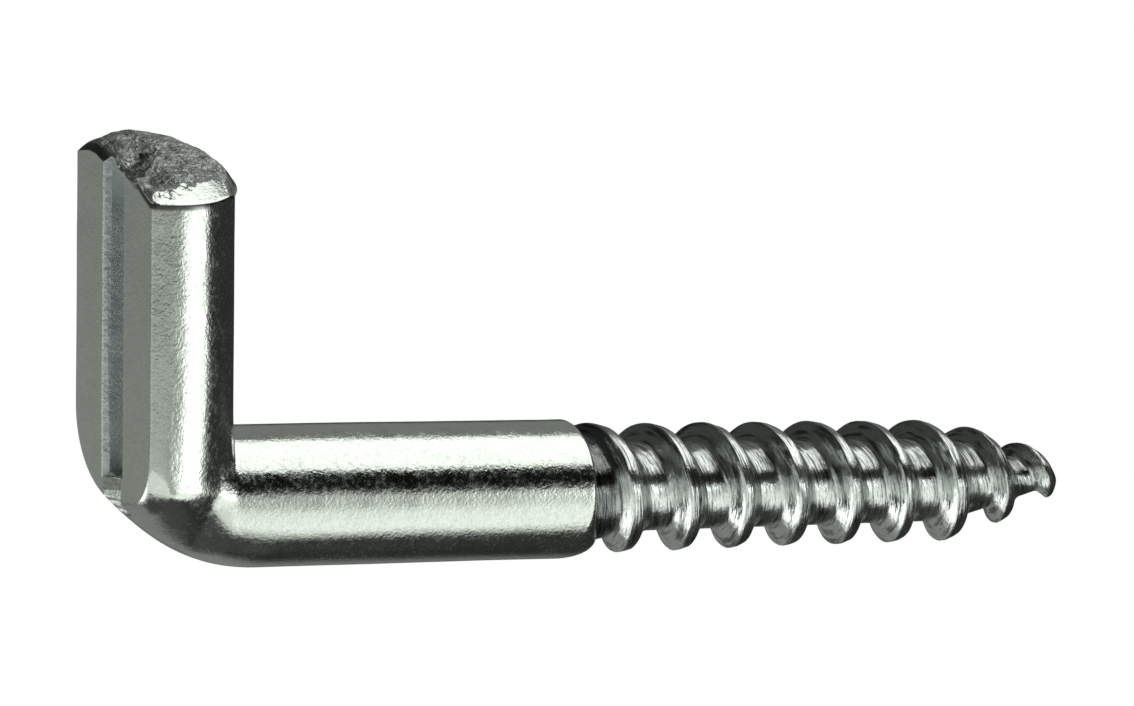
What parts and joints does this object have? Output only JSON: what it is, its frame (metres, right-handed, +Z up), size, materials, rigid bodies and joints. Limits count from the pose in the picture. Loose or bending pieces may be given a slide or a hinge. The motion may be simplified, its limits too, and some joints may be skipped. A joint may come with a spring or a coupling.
{
  "type": "screw hook",
  "caption": "Steel screw hook: wood-threaded shank bent square into a short flattened leg, with a driver slot down its back and a sheared end.",
  "frame": {"origin": "on the shank's axis, where the first full crest of the thread begins, which is about the wall's surface", "axes": "+X along the shank into the wall, +Z up along the leg, +Y across the hook to its far side"},
  "size_m": [0.0451, 0.0073, 0.0177],
  "materials": {
    "screw_hook": "bright zinc plating over drawn steel wire, lightly mottled"
  },
  "bodies": {
    "root": {"screw_hook": "screw_hook"}
  },
  "joints": []
}
